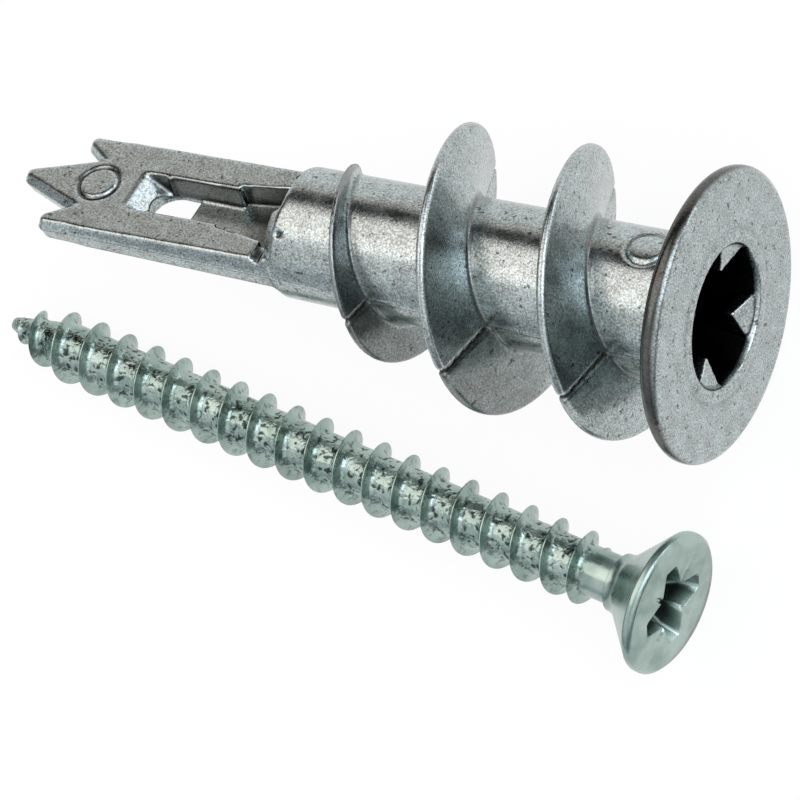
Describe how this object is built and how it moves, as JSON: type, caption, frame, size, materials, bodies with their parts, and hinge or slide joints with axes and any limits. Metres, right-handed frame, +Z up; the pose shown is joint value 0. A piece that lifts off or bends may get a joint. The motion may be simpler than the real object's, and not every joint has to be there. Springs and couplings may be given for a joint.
{
  "type": "wall anchor",
  "caption": "Self-drilling cast anchor for board walls, with a flanged barrel, coarse helical flights and a bladed point, beside the countersunk screw that it takes.",
  "frame": {"origin": "on the anchor's axis, in the back face of the flange that meets the wall", "axes": "+X along the anchor's axis out of the wall towards the user, +Z up from the surface that the pair lies on"},
  "size_m": [0.0418, 0.0249, 0.0142],
  "materials": {
    "die_cast_zinc": "as-cast, dull with brighter worn edges",
    "zinc_plated_steel": "bright zinc plating with a cool blue-green passivation"
  },
  "bodies": {
    "anchor": {"anchor_casting": "die_cast_zinc"},
    "screw": {"countersunk_screw": "zinc_plated_steel"}
  },
  "joints": [
    {"name": "screw_turn", "type": "hinge", "parent": "anchor", "child": "screw", "pos_m": [-0.00113, -0.01427, -0.0035], "axis": [0.9864, -0.1568, 0.0489], "continuous": true}
  ]
}
